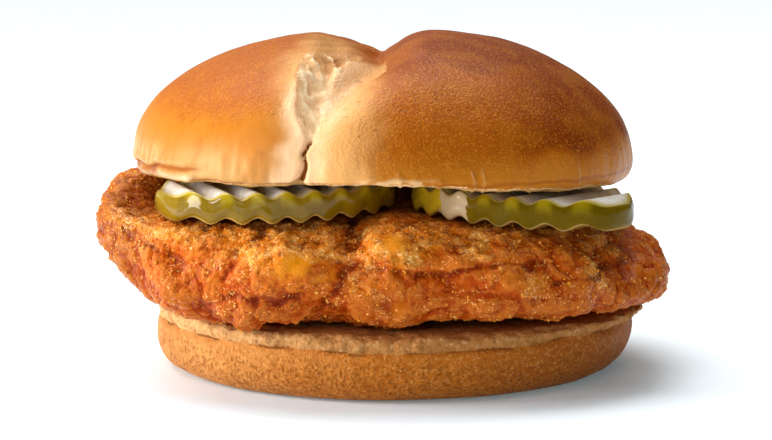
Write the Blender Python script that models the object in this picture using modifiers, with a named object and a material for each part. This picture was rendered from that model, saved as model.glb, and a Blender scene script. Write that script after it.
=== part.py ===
"""A crispy chicken burger: heel bun, battered fillet, two crinkle-cut pickle slices and a split crown bun.

Metres, +Z up. The front is -Y, and the heel bun stands on Z = 0.
"""

import math

import bmesh
import bpy
from mathutils import Matrix, Vector, noise

MM = 0.001
GAP = 0.35 * MM  # clearance that touching pieces keep

# Heel bun: a turned slice with a pale cut band above its crust.
HEEL_CENTRE_X = 1.9 * MM
HEEL_RADIUS = 50.4 * MM
HEEL_BASE_RADIUS = 43.0 * MM
HEEL_CRUST_HEIGHT = 11.0 * MM
HEEL_HEIGHT = 14.2 * MM
HEEL_LEAN = 0.9 * MM  # the crust leans to the right by this much
HEEL_FLARE = 3.8 * MM  # how far the cut band leans out at the right
HEEL_SEAM_DEPTH = 0.6 * MM  # the notch between the crust and the cut band
HEEL_ROUND_UNEVEN = 0.7 * MM
HEEL_LEVEL_UNEVEN = 0.35 * MM

# Fillet: a lumpy slab, higher at its left end and thinner at its right.
FILLET_HALF_LENGTH = 59.6 * MM
FILLET_HALF_DEPTH = 50.0 * MM
FILLET_CENTRE = Vector((0.4 * MM, -3.0 * MM, HEEL_HEIGHT + GAP))
FILLET_TOP = 40.0 * MM
FILLET_FRONT_DROOP = 4.0 * MM
FILLET_RIGHT_DROOP = 9.2 * MM
FILLET_LEFT_RISE = 0.8 * MM
FILLET_RIGHT_LEAN = 3.0 * MM  # the right end's top edge stands back this far
FILLET_MIDDLE_RISE = 2.2 * MM  # the crag between the pickles
FILLET_LEFT_UNDERCUT = 8.0 * MM
FILLET_BACK_DROOP = 3.0 * MM
FILLET_OUTLINE_POWER = 2.5  # 2 would be an ellipse seen from above
FILLET_SIDE_POWER = 3.1  # 2 would be an ellipse seen from the side
FILLET_LEFT_BLUNT = 4.0  # added to that power at the left end, which stands nearly upright
FILLET_EDGE_UNEVEN = 1.6 * MM

# Batter crags: height and lump size.
COARSE_CRAG = (2.3 * MM, 10.0 * MM)
RIDGE_CRAG = (2.0 * MM, 6.0 * MM)
FINE_CRAG = (1.0 * MM, 3.4 * MM)

# Pickle slices: corrugated discs, cut by a crinkle blade.
PICKLE_THICKNESS = 5.0 * MM
RIDGE_PITCH = 5.55 * MM
RIDGE_HEIGHT = 0.72 * MM  # from the mid-plane to a crest
RIM_BULGE = 0.35 * MM
PICKLE_MARGIN = 4.0 * MM  # the fillet stays low this far around each slice

# Crown bun: a dome with a torn split.
CROWN_HALF_WIDTH = 52.7 * MM
CROWN_HALF_DEPTH = 52.0 * MM
CROWN_WIDEST_LEVEL = 44.6 * MM
CROWN_RISE = 26.4 * MM
CROWN_RIGHT_RISE = 1.0 * MM  # the right lobe stands this much higher
CROWN_EDGE_SHARE = 0.935  # radius of the lower edge against the widest radius
CROWN_BASE = 41.7 * MM  # height of the underside over the middle of the burger
CROWN_ROLL = 1.4  # degrees, right side down
CROWN_TILT = 2.1  # degrees, front up
CROWN_SAG = 2.3 * MM  # how far the left and right ends hang down
FRONT_EDGE_DIPS = (
    (-29.0 * MM, 0.8 * MM, 14.0 * MM),
    (33.0 * MM, 0.9 * MM, 17.0 * MM),
)  # x, depth and half-width of each low place in the crown's front edge
SPLIT_DEPTH = 4.4 * MM
SPLIT_LEFT_WIDTH = 7.5 * MM
SPLIT_RIGHT_WIDTH = 4.6 * MM
SPLIT_START = 0.8 * MM  # x of the split's bottom over the middle of the burger
SPLIT_FRONT_BEND = 15.5 * MM  # how far it bends left towards the front edge
SPLIT_BACK_BEND = 3.5 * MM  # how far it bends right towards the back
TEAR_DEPTH = 1.8 * MM
TEAR_WIDTH = 13.0 * MM
TEAR_STRANDS = 1.4 * MM
CROWN_UNEVEN = 0.6 * MM

# Colours as linear RGB, with roughness.
FINISHES = {
    "heel_crust": ((0.60, 0.28, 0.08), 0.7),
    "fried_batter": ((0.45, 0.12, 0.02), 0.35),
    "pickle_skin": ((0.27, 0.26, 0.03), 0.25),
    "crown_crust": ((0.52, 0.19, 0.04), 0.3),
}


def smooth_step(low, high, value):
    """0 below low, 1 above high, and a smooth ramp between."""
    share = min(1.0, max(0.0, (value - low) / (high - low)))
    return share * share * (3.0 - 2.0 * share)


def hump(offset, width):
    return math.exp(-((offset / width) ** 2))


def lumps(point, size, seed):
    """Smooth noise from -1 to 1 with lumps of about the given size."""
    return noise.noise(point / size + Vector((seed, seed * 1.7, seed * 0.6)))


def clear_scene():
    for obj in list(bpy.data.objects):
        bpy.data.objects.remove(obj)


def material(name):
    colour, roughness = FINISHES[name]
    made = bpy.data.materials.new(name)
    made.use_nodes = True
    shader = made.node_tree.nodes["Principled BSDF"]
    shader.inputs["Base Color"].default_value = (*colour, 1.0)
    shader.inputs["Roughness"].default_value = roughness
    made.diffuse_color = (*colour, 1.0)
    return made


def finish(obj, centre, finish_name, collection):
    """Moves the object's origin to its own centre, shades it and files it."""
    obj.data.transform(Matrix.Translation(-centre))
    obj.location = centre
    obj.data.materials.append(material(finish_name))
    obj.data.shade_smooth()
    collection.objects.link(obj)
    return obj


def turned(name, profile, steps):
    """An object spun about Z from (radius, height) points that run from the top down the outer side."""
    outline = bpy.data.meshes.new(name + "_profile")
    points = [(radius, 0.0, height) for radius, height in profile]
    outline.from_pydata(points, [(i, i + 1) for i in range(len(points) - 1)], [])
    spun = bpy.data.objects.new(name + "_profile", outline)
    bpy.context.scene.collection.objects.link(spun)
    screw = spun.modifiers.new("Turn", "SCREW")
    screw.steps = steps
    screw.render_steps = steps
    screw.use_merge_vertices = True
    screw.merge_threshold = 0.00001
    bpy.context.view_layer.update()
    evaluated = spun.evaluated_get(bpy.context.evaluated_depsgraph_get())
    mesh = bpy.data.meshes.new_from_object(evaluated)
    mesh.name = name
    bpy.data.objects.remove(spun)
    return bpy.data.objects.new(name, mesh)


def crowded(angle, towards, share):
    """The angle moved so that points stand closer together in one direction."""
    return angle - share * math.sin(angle - towards)


def arc(centre, radius, start, end, count):
    """Points on an arc in the profile plane; the angles are in degrees."""
    found = []
    for i in range(count + 1):
        angle = math.radians(start + (end - start) * i / count)
        x = centre[0] + radius * math.cos(angle)
        found.append((x, centre[1] + radius * math.sin(angle)))
    return found


def heel_profile():
    """Top face, the cut band, the notch under it, the bulging crust and the flat base."""
    edge = HEEL_RADIUS - 0.2 * MM
    band = HEEL_HEIGHT - HEEL_CRUST_HEIGHT
    corner = HEEL_RADIUS - HEEL_BASE_RADIUS
    top = [(share * HEEL_RADIUS, HEEL_HEIGHT) for share in (0.0, 0.3, 0.6, 0.85)]
    rim = [(edge - 0.4 * band, HEEL_HEIGHT - 0.03 * band), (edge, HEEL_HEIGHT - 0.28 * band)]
    notch = [
        (edge, HEEL_CRUST_HEIGHT + 0.3 * band),
        (edge - HEEL_SEAM_DEPTH, HEEL_CRUST_HEIGHT),
        (HEEL_RADIUS, HEEL_CRUST_HEIGHT - 0.25 * band),
    ]
    wall = arc((HEEL_BASE_RADIUS, corner), corner, 0.0, -90.0, 5)
    return top + rim + notch + wall + [(0.0, 0.0)]


def heel_bun(collection):
    heel = turned("heel_bun", heel_profile(), 64)
    for vertex in heel.data.vertices:
        x, y, z = vertex.co
        radius = math.hypot(x, y)
        share = radius / HEEL_RADIUS
        right = smooth_step(0.5, 1.0, x / HEEL_RADIUS)
        above = smooth_step(HEEL_CRUST_HEIGHT, HEEL_HEIGHT, z)
        uneven = HEEL_ROUND_UNEVEN * lumps(Vector((x, y, 0.0)), 26 * MM, 3.0)
        grow = share**4 * (uneven * (z > 0.0) + HEEL_FLARE * right * above)
        if radius > 0.0:
            vertex.co.x = x * (1.0 + grow / radius)
            vertex.co.y = y * (1.0 + grow / radius)
        if 0.0 < z < HEEL_HEIGHT:
            vertex.co.z = z + HEEL_LEVEL_UNEVEN * lumps(Vector((x, y, 0.0)), 17 * MM, 8.0) * share
        vertex.co.z = min(vertex.co.z, HEEL_HEIGHT)
        vertex.co.x += HEEL_CENTRE_X + HEEL_LEAN * smooth_step(0.0, HEEL_CRUST_HEIGHT, z)
    centre = Vector((HEEL_CENTRE_X, 0.0, 0.0))
    return finish(heel, centre, "heel_crust", collection)


def crown_underside(x, y):
    """Height of the crown's cut face, which bends down at the left and right ends."""
    slope_x = -math.tan(math.radians(CROWN_ROLL)) * x
    slope_y = -math.tan(math.radians(CROWN_TILT)) * y
    front = smooth_step(22 * MM, 44 * MM, -y)
    dips = sum(depth * hump(x - at, width) for at, depth, width in FRONT_EDGE_DIPS)
    sag = CROWN_SAG * (x / CROWN_HALF_WIDTH) ** 2 + dips * front
    return CROWN_BASE + slope_x + slope_y - sag


# Each pickle: centre, radius, height of its crests at the centre, slopes along X and Y, the turn of its ridges
# in degrees, and the place of one crest across the ridges.
PICKLES = {
    "pickle_left": {
        "centre": (-22.0 * MM, -22.4 * MM),
        "radius": 24.0 * MM,
        "crest_height": 41.45 * MM,
        "slope": (0.034, -0.018),
        "turn": 15.0,
        "crest_at": -2.9 * MM,
    },
    "pickle_right": {
        "centre": (28.4 * MM, -21.5 * MM),
        "radius": 22.4 * MM,
        "crest_height": 40.05 * MM,
        "slope": (-0.071, -0.020),
        "turn": -27.8,
        "crest_at": 2.08 * MM,
    },
}


def pickle_sheet_height(pickle, dx, dy):
    """Height of the plane through a slice's upper crests, at an offset from its centre."""
    slope_x, slope_y = pickle["slope"]
    return pickle["crest_height"] + slope_x * dx + slope_y * dy


def room_under_pickles(x, y):
    """The highest that the fillet may reach beside and under the slices."""
    limits = []
    for pickle in PICKLES.values():
        dx = x - pickle["centre"][0]
        dy = y - pickle["centre"][1]
        drop = PICKLE_THICKNESS + 2.0 * RIDGE_HEIGHT + GAP
        clear = max(0.0, math.hypot(dx, dy) - pickle["radius"] - PICKLE_MARGIN)
        limits.append(pickle_sheet_height(pickle, dx, dy) - drop + 0.8 * clear)
    return min(limits)


# Furrows in the fillet's front: a path of (x, z) points, with depth and width.
FURROWS = (
    (((-6, 35), (-7, 29), (-9.3, 23), (-12, 18)), 2.2, 2.6),
    (((2, 22), (11, 24.3), (17, 25.7), (24, 23.3)), 1.5, 2.4),
    (((-52, 33), (-45, 30), (-38, 27)), 1.2, 3.0),
    (((33, 25), (42, 26.5), (50, 28)), 1.0, 2.2),
    (((-30, 22), (-22, 21), (-15, 22.5)), 0.8, 2.4),
)
# Swellings in the fillet's front: (x, z), height and radius.
SWELLINGS = (
    ((-19, 27.6), 1.6, 8.0),
    ((-25, 32), 1.0, 5.0),
    ((4, 31), 1.5, 7.0),
    ((19, 31), 1.2, 7.0),
    ((34, 30), 1.0, 6.0),
    ((2.5, 18.5), 1.7, 8.0),
    ((40, 23), 0.9, 7.0),
    ((-38, 24), 1.0, 7.0),
)


def distance_to_path(point, path):
    """The shortest distance in the X-Z plane from a point to a path's straight runs."""
    best = math.inf
    for start, end in zip(path, path[1:]):
        run = Vector(end) - Vector(start)
        along = (point - Vector(start)).dot(run) / run.length_squared
        nearest = Vector(start) + run * min(1.0, max(0.0, along))
        best = min(best, (point - nearest).length)
    return best


def front_relief(position):
    """The furrows and swellings of the side that faces -Y, in metres outwards."""
    facing = smooth_step(10 * MM, 34 * MM, -position.y)
    place = Vector((position.x, position.z)) / MM
    relief = 0.0
    for path, depth, width in FURROWS:
        relief -= depth * hump(distance_to_path(place, path), width)
    for middle, height, radius in SWELLINGS:
        relief += height * hump((place - Vector(middle)).length, radius)
    return relief * MM * facing


def crags(position):
    """Batter crags: lumps at three sizes, sharper on their crests than in their hollows."""
    coarse = COARSE_CRAG[0] * lumps(position, COARSE_CRAG[1], 5.0)
    middle = RIDGE_CRAG[0] * (0.25 - abs(lumps(position, RIDGE_CRAG[1], 11.0)))
    fine = FINE_CRAG[0] * lumps(position, FINE_CRAG[1], 17.0)
    return coarse + middle + fine


def slab_profile(power):
    """A unit superellipse from the top centre to the bottom centre, in (radius, height) points."""
    # Degrees from the middle: close steps over the top and side, wide ones underneath.
    directions = [90.0 - 4.5 * i for i in range(10)]
    directions += [45.0 - 9.0 * i for i in range(10)]
    directions += [-45.0 - 11.25 * i for i in range(5)]
    found = []
    for degrees in directions:
        across, up = math.cos(math.radians(degrees)), math.sin(math.radians(degrees))
        reach = (abs(across) ** power + abs(up) ** power) ** (-1.0 / power)
        radius = across * reach if abs(degrees) < 90.0 else 0.0
        found.append((radius, up * reach))
    return found


def fillet_levels(x, y):
    """Bottom and top of the fillet over a place, before rounding and crags."""
    front = smooth_step(14 * MM, 46 * MM, -y)
    back = smooth_step(20 * MM, 46 * MM, y)
    right = smooth_step(18 * MM, 60 * MM, x)
    left = smooth_step(32 * MM, 54 * MM, -x)
    undercut = smooth_step(42 * MM, 62 * MM, -x)
    top = FILLET_TOP - FILLET_FRONT_DROOP * front - FILLET_BACK_DROOP * back
    top += FILLET_LEFT_RISE * left - FILLET_RIGHT_DROOP * right
    top += FILLET_MIDDLE_RISE * hump(x - 4 * MM, 9 * MM) * smooth_step(30 * MM, 46 * MM, -y)
    bottom = FILLET_CENTRE.z - 1.2 * MM + FILLET_LEFT_UNDERCUT * undercut
    return bottom, top


def chicken_fillet(collection):
    fillet = turned("chicken_fillet", slab_profile(FILLET_SIDE_POWER), 104)
    for vertex in fillet.data.vertices:
        angle = math.atan2(vertex.co.y, vertex.co.x)
        angle = crowded(angle, math.radians(-90), 0.25)
        radius, height = math.hypot(vertex.co.x, vertex.co.y), vertex.co.z
        direction = Vector((math.cos(angle), math.sin(angle), 0.0))
        across = abs(direction.x / FILLET_HALF_LENGTH) ** FILLET_OUTLINE_POWER
        deep = abs(direction.y / FILLET_HALF_DEPTH) ** FILLET_OUTLINE_POWER
        reach = (across + deep) ** (-1.0 / FILLET_OUTLINE_POWER)
        reach += FILLET_EDGE_UNEVEN * lumps(direction * 30 * MM, 16 * MM, 2.0)
        if height > 0.0:
            blunt = FILLET_LEFT_BLUNT * smooth_step(0.5, 0.95, -direction.x)
            power = FILLET_SIDE_POWER + blunt
            height = (1.0 - min(radius, 1.0) ** power) ** (1.0 / power)
        reach -= FILLET_RIGHT_LEAN * max(0.0, direction.x) ** 4 * smooth_step(-0.2, 0.8, height)
        place = direction * reach * radius
        place.x += FILLET_CENTRE.x
        place.y += FILLET_CENTRE.y
        bottom, top = fillet_levels(place.x, place.y)
        place.z = bottom + (top - bottom) * (height + 1.0) / 2.0
        vertex.co = place
    fillet.data.update()
    outwards = [vertex.normal.copy() for vertex in fillet.data.vertices]
    for vertex, normal in zip(fillet.data.vertices, outwards):
        move = crags(vertex.co) + front_relief(vertex.co)
        vertex.co += normal * move
        vertex.co.z = max(vertex.co.z, FILLET_CENTRE.z)
        x, y = vertex.co.x, vertex.co.y
        if math.hypot(x / CROWN_HALF_WIDTH, y / CROWN_HALF_DEPTH) < 1.02:
            vertex.co.z = min(vertex.co.z, crown_underside(x, y) - 2.0 * GAP)
        vertex.co.z = min(vertex.co.z, room_under_pickles(x, y))
    return finish(fillet, FILLET_CENTRE, "fried_batter", collection)


def flat_disc(name, columns, rows):
    """A disc of unit radius in straight columns, with a mid-wall ring, from z = 0 to z = 1."""
    shape = bmesh.new()
    bmesh.ops.create_grid(shape, x_segments=columns, y_segments=rows, size=1.0)
    for vertex in shape.verts:
        x = math.sin(0.5 * math.pi * vertex.co.x)
        half = math.sqrt(max(0.0, 1.0 - x * x))
        vertex.co = (x, vertex.co.y * half, 0.0)
    bmesh.ops.remove_doubles(shape, verts=shape.verts, dist=0.0005)
    faces = list(shape.faces)
    for lift in range(2):
        geometry = faces + list({edge for face in faces for edge in face.edges})
        grown = bmesh.ops.extrude_face_region(
            shape, geom=geometry, use_keep_orig=(lift == 0)
        )["geom"]
        faces = [item for item in grown if isinstance(item, bmesh.types.BMFace)]
        raised = [item for item in grown if isinstance(item, bmesh.types.BMVert)]
        bmesh.ops.translate(shape, verts=raised, vec=(0.0, 0.0, 0.5))
    bmesh.ops.recalc_face_normals(shape, faces=shape.faces)
    mesh = bpy.data.meshes.new(name)
    shape.to_mesh(mesh)
    shape.free()
    return bpy.data.objects.new(name, mesh)


def pickle_slice(name, pickle, collection):
    piece = flat_disc(name, 60, 3)
    turn = math.radians(pickle["turn"])
    for vertex in piece.data.vertices:
        across, along, level = vertex.co
        reach = pickle["radius"] + RIM_BULGE * (0.4 < level < 0.6)
        across *= reach
        along *= reach
        dx = across * math.cos(turn) - along * math.sin(turn)
        dy = across * math.sin(turn) + along * math.cos(turn)
        phase = 2.0 * math.pi * (across - pickle["crest_at"]) / RIDGE_PITCH
        wave = RIDGE_HEIGHT * (math.cos(phase) - 1.0)
        top = pickle_sheet_height(pickle, dx, dy) + wave
        height = top - PICKLE_THICKNESS * (1.0 - level)
        vertex.co = (pickle["centre"][0] + dx, pickle["centre"][1] + dy, height)
    centre = Vector((*pickle["centre"], pickle["crest_height"]))
    return finish(piece, centre, "pickle_skin", collection)


def split_line(y):
    """Where the bottom of the split runs, seen from above: x at a place along Y."""
    front = smooth_step(26 * MM, 52 * MM, -y)
    back = smooth_step(0.0, 50 * MM, y)
    return SPLIT_START - SPLIT_FRONT_BEND * front + SPLIT_BACK_BEND * back


def split_strength(y):
    """The split's share of its full depth: it runs out towards the front and back edges."""
    front = smooth_step(34 * MM, 52 * MM, -y)
    back = smooth_step(25 * MM, 52 * MM, y)
    return 1.0 - 0.6 * front - 0.72 * back


def tear_width(y):
    """The band of torn crumb left of the split's bottom narrows to nothing at both ends."""
    front = 1.0 - smooth_step(33 * MM, 50 * MM, -y)
    back = 1.0 - smooth_step(8 * MM, 44 * MM, y)
    return TEAR_WIDTH * front * back


def split_relief(position):
    """How far the split and its torn crumb sink the dome at a place, in metres."""
    offset = position.x - split_line(position.y)
    width = SPLIT_LEFT_WIDTH if offset < 0 else SPLIT_RIGHT_WIDTH
    sunk = SPLIT_DEPTH * split_strength(position.y) * hump(offset, width)
    band = tear_width(position.y)
    torn = smooth_step(-1.0 * MM, 1.0 * MM, offset + band)
    torn *= 1.0 - smooth_step(-1.5 * MM, 0.5 * MM, offset)
    strands = TEAR_STRANDS * lumps(position, 5.0 * MM, 23.0)
    return sunk + torn * (TEAR_DEPTH + strands)


def crown_profile():
    """Unit dome from the top, the tuck to the lower edge and the cut face to the centre."""
    dome = []
    for i in range(18):
        angle = math.radians(90.0 * (1.0 - i / 17))
        dome.append((math.cos(angle) if i else 0.0, math.sin(angle)))
    tuck = []
    for drop in (0.35, 0.75, 1.0):
        bulge = math.sqrt(max(0.0, 1.0 - drop**2))
        tuck.append((CROWN_EDGE_SHARE + (1.0 - CROWN_EDGE_SHARE) * bulge, -drop))
    face = [(share * CROWN_EDGE_SHARE, -1.0) for share in (0.86, 0.6, 0.3)]
    return dome + tuck + face + [(0.0, -1.0)]


def crown_point(radius, angle, height):
    """A place on the crown: height is 1 at its top, 0 at its widest level and -1 at its cut face."""
    front_edge = 0.025 * max(0.0, -math.sin(angle)) ** 2 * max(0.0, -height)
    radius *= 1.0 + front_edge
    x = CROWN_HALF_WIDTH * radius * math.cos(angle)
    y = CROWN_HALF_DEPTH * radius * math.sin(angle)
    level = CROWN_WIDEST_LEVEL - 0.010 * x - 0.012 * y
    under = crown_underside(x, y)
    rise = CROWN_RISE + CROWN_RIGHT_RISE * smooth_step(0.0, 30 * MM, x)
    z = level + (rise if height >= 0.0 else level - under) * height
    return Vector((x, y, z))


def crown_bun(collection):
    crown = turned("crown_bun", crown_profile(), 96)
    core = Vector((0.0, 0.0, CROWN_WIDEST_LEVEL))
    for vertex in crown.data.vertices:
        angle = math.atan2(vertex.co.y, vertex.co.x)
        angle = crowded(angle, math.radians(-104), 0.42)
        radius, height = math.hypot(vertex.co.x, vertex.co.y), vertex.co.z
        place = crown_point(radius, angle, height)
        if height > -0.99:
            inwards = (core - place).normalized()
            bumps = CROWN_UNEVEN * lumps(place, 27 * MM, 31.0)
            edge = smooth_step(-1.0, -0.4, height)
            place += inwards * (split_relief(place) * (0.45 + 0.55 * edge) - bumps * edge)
        vertex.co = place
    return finish(crown, core, "crown_crust", collection)


def centre_on_base(pieces):
    """Moves the whole burger so that the middle of its box stands over the origin."""
    corners = [obj.matrix_basis @ v.co for obj in pieces for v in obj.data.vertices]
    low = Vector(min(corner[axis] for corner in corners) for axis in range(3))
    high = Vector(max(corner[axis] for corner in corners) for axis in range(3))
    shift = (low + high) / 2.0
    shift.z = low.z
    for obj in pieces:
        obj.location -= shift


def main():
    clear_scene()
    burger = bpy.data.collections.new("chicken_burger")
    bpy.context.scene.collection.children.link(burger)
    pieces = [heel_bun(burger), chicken_fillet(burger), crown_bun(burger)]
    for name, pickle in PICKLES.items():
        pieces.append(pickle_slice(name, pickle, burger))
    centre_on_base(pieces)
    bpy.context.view_layer.update()


main()
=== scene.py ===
# Chicken burger: the finish of its buns, fried fillet and pickle slices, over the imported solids
import math
import bpy
import bmesh
import numpy as np
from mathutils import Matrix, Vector


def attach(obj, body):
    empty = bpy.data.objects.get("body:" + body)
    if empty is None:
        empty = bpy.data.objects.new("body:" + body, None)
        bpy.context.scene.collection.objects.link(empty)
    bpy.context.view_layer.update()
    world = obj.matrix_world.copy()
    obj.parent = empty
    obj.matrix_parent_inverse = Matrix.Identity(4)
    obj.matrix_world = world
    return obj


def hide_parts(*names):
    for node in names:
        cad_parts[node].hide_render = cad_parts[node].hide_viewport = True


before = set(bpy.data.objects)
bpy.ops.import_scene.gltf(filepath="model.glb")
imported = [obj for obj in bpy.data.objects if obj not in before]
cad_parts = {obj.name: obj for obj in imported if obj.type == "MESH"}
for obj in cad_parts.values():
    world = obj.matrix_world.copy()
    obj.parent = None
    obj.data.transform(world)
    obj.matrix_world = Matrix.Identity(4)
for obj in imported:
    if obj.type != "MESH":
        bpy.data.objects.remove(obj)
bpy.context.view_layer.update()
print("frame loaded:", ", ".join(sorted(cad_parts)))

mm = 0.001
# the crown's upright axis in the frame, in mm; the sizes of every piece are measured from it
crownAxis = {"x": -1.106, "y": 2.172}


# helpers

def toLinear(hexColour):
    parts = [int(hexColour[i:i + 2], 16) / 255 for i in (1, 3, 5)]
    return tuple(p / 12.92 if p <= 0.04045 else ((p + 0.055) / 1.055) ** 2.4 for p in parts) + (1.0,)


def addNode(tree, kind, inputs=None, **settings):
    node = tree.nodes.new(kind)
    for name, value in settings.items():
        setattr(node, name, value)
    for key, value in (inputs or {}).items():
        if isinstance(value, bpy.types.NodeSocket):
            tree.links.new(value, node.inputs[key])
        else:
            node.inputs[key].default_value = value
    return node


def ramp01(low, high, value):
    # 0 up to low, 1 from high on, and smooth between them
    share = np.clip((value - low) / (high - low), 0.0, 1.0)
    return share * share * (3.0 - 2.0 * share)


def fall01(low, high, value):
    # the same the other way round: 1 up to low, 0 from high on
    return 1.0 - ramp01(low, high, value)


def bell(distance, half):
    # 1 where the distance is nought, fading away beyond the half-width
    return np.exp(-(distance / half) ** 2)


# the turn keeps the cells of the noise from lining up with the axes; the rest scrambles each corner's value
latticeTurn = np.array([[0.36, 0.48, -0.80], [-0.80, 0.60, 0.0], [0.48, 0.64, 0.60]])
scramble = {"steps": np.array([127.1, 311.7, 74.7]), "factor": 43758.5453, "seedShift": 7.31}


def cloudNoise(points, size, seed):
    # smooth seeded noise from -1 to 1, with lumps of about the given size
    place = points @ latticeTurn / size + seed * scramble["seedShift"]
    cell = np.floor(place)
    part = place - cell
    part = part * part * (3.0 - 2.0 * part)
    total = np.zeros(len(points))
    for corner in np.ndindex(2, 2, 2):
        spot = cell + np.array(corner)
        mixed = np.sin(spot @ scramble["steps"] + seed) * scramble["factor"]
        weight = np.prod(np.where(np.array(corner) == 1, part, 1.0 - part), axis=1)
        total += weight * ((mixed - np.floor(mixed)) * 2.0 - 1.0)
    return total


def rumple(points, layers):
    # noises laid over each other, each with its height, the size of its lumps in mm and its seed
    return sum(height * cloudNoise(points, size, seed) for height, size, seed in layers)


def linkObject(name, mesh):
    obj = bpy.data.objects.new(name, mesh)
    bpy.context.scene.collection.objects.link(obj)
    return obj


def bakePiece(obj, name):
    # the shape with its modifiers applied becomes a plain mesh, and the worked object goes
    bpy.context.view_layer.update()
    graph = bpy.context.evaluated_depsgraph_get()
    mesh = bpy.data.meshes.new_from_object(obj.evaluated_get(graph), depsgraph=graph)
    bpy.data.objects.remove(obj)
    mesh.name = name
    return linkObject(name, mesh)


def fineCopy(node, name, grain, smoothing=6):
    # a smooth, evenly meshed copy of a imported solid; grain is its mesh size in mm
    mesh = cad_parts[node].data.copy()
    shape = bmesh.new()
    shape.from_mesh(mesh)
    bmesh.ops.remove_doubles(shape, verts=shape.verts, dist=0.002 * mm)
    shape.to_mesh(mesh)
    shape.free()
    mesh.materials.clear()
    obj = linkObject(name + "Work", mesh)
    rounded = obj.modifiers.new("Rounded", "SUBSURF")
    rounded.levels = rounded.render_levels = 2
    even = obj.modifiers.new("Even", "REMESH")
    even.mode = "VOXEL"
    even.voxel_size = grain * mm
    even.use_smooth_shade = True
    soft = obj.modifiers.new("Soft", "SMOOTH")
    soft.factor = 0.5
    soft.iterations = smoothing
    return bakePiece(obj, name)


def meshPoints(mesh):
    # vertex places in mm from the crown's upright axis, with the outward normals
    count = len(mesh.vertices)
    points = np.empty(count * 3)
    normals = np.empty(count * 3)
    mesh.vertices.foreach_get("co", points)
    mesh.vertex_normals.foreach_get("vector", normals)
    points = points.reshape(-1, 3) / mm
    points[:, 0] -= crownAxis["x"]
    points[:, 1] -= crownAxis["y"]
    return points, normals.reshape(-1, 3)


def putPoints(mesh, points):
    moved = points.copy()
    moved[:, 0] += crownAxis["x"]
    moved[:, 1] += crownAxis["y"]
    mesh.vertices.foreach_set("co", (moved * mm).ravel())
    mesh.update()


def storeMasks(mesh, **masks):
    for name, values in masks.items():
        layer = mesh.attributes.new(name, "FLOAT", "POINT")
        layer.data.foreach_set("value", np.asarray(values, dtype=np.float32))


def readMask(mesh, name):
    values = np.empty(len(mesh.vertices), dtype=np.float32)
    mesh.attributes[name].data.foreach_get("value", values)
    return values


def relaxed(mesh, rounds):
    # the places of the points, in mm, once each has been eased towards its neighbours
    count = len(mesh.vertices)
    edges = np.empty(len(mesh.edges) * 2, dtype=np.int64)
    mesh.edges.foreach_get("vertices", edges)
    first, second = edges.reshape(-1, 2).T
    links = np.maximum(np.bincount(edges, minlength=count), 1)
    smooth = meshPoints(mesh)[0]
    for i in range(rounds):
        for axis in range(3):
            total = np.bincount(first, smooth[second, axis], count)
            total += np.bincount(second, smooth[first, axis], count)
            smooth[:, axis] = 0.5 * smooth[:, axis] + 0.5 * total / links
    return smooth


def newTree(name, sizes):
    # a Geometry Nodes tree whose named inputs hold its sizes
    tree = bpy.data.node_groups.new(name, "GeometryNodeTree")
    tree.interface.new_socket("Geometry", in_out="INPUT", socket_type="NodeSocketGeometry")
    tree.interface.new_socket("Geometry", in_out="OUTPUT", socket_type="NodeSocketGeometry")
    for label, value in sizes.items():
        kind = "NodeSocketMaterial" if isinstance(value, bpy.types.Material) else "NodeSocketFloat"
        tree.interface.new_socket(label, in_out="INPUT", socket_type=kind)
    return tree, addNode(tree, "NodeGroupInput").outputs


def calculator(tree):
    # a short way to add a Math node to the tree and take its result
    def calc(operation, *values):
        return addNode(tree, "ShaderNodeMath", dict(enumerate(values)), operation=operation).outputs[0]

    return calc


def runTree(obj, tree, sizes, name):
    # sets each named input by its identifier, then bakes
    modifier = obj.modifiers.new(tree.name, "NODES")
    modifier.node_group = tree
    for item in tree.interface.items_tree:
        if item.in_out == "INPUT" and item.name in sizes:
            modifier[item.identifier] = sizes[item.name]
    return bakePiece(obj, name)


def finishPiece(piece, node):
    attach(piece, "root")
    if node:
        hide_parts(node)
    print(piece.name, "finished:", len(piece.data.polygons), "faces")
    return piece


# parts of materials

def startMaterial(name, inputs):
    made = bpy.data.materials.new(name)
    made.use_nodes = True
    tree = made.node_tree
    shader = tree.nodes["Principled BSDF"]
    for key, value in inputs.items():
        shader.inputs[key].default_value = value
    place = addNode(tree, "ShaderNodeTexCoord").outputs["Object"]
    return made, tree, shader, place


def mottle(tree, place, size, low, high, detail=3.0, rough=0.55, stretch=(1, 1, 1)):
    # a mask of soft patches of about size mm: 0 below low, 1 above high
    mapped = addNode(tree, "ShaderNodeMapping", {"Vector": place, "Scale": stretch})
    noise = addNode(tree, "ShaderNodeTexNoise", {
        "Vector": mapped.outputs[0], "Scale": 1 / (size * mm), "Detail": detail, "Roughness": rough})
    spread = addNode(tree, "ShaderNodeMapRange", {
        "Value": noise.outputs[0], "From Min": low, "From Max": high}, interpolation_type="SMOOTHSTEP")
    return spread.outputs[0]


def pores(tree, place, size, low, high, stretch=(1, 1, 1)):
    # a mask of round spots about size mm apart: 1 in the middle of a spot
    mapped = addNode(tree, "ShaderNodeMapping", {"Vector": place, "Scale": stretch})
    cells = addNode(tree, "ShaderNodeTexVoronoi", {
        "Vector": mapped.outputs[0], "Scale": 1 / (size * mm), "Randomness": 1.0})
    spread = addNode(tree, "ShaderNodeMapRange", {
        "Value": cells.outputs["Distance"], "From Min": low, "From Max": high,
        "To Min": 1.0, "To Max": 0.0}, interpolation_type="SMOOTHSTEP")
    return spread.outputs[0]


def storedMask(tree, name, low=0.0, high=1.0):
    stored = addNode(tree, "ShaderNodeAttribute", attribute_name=name)
    spread = addNode(tree, "ShaderNodeMapRange", {
        "Value": stored.outputs["Fac"], "From Min": low, "From Max": high},
        interpolation_type="SMOOTHSTEP")
    return spread.outputs[0]


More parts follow.
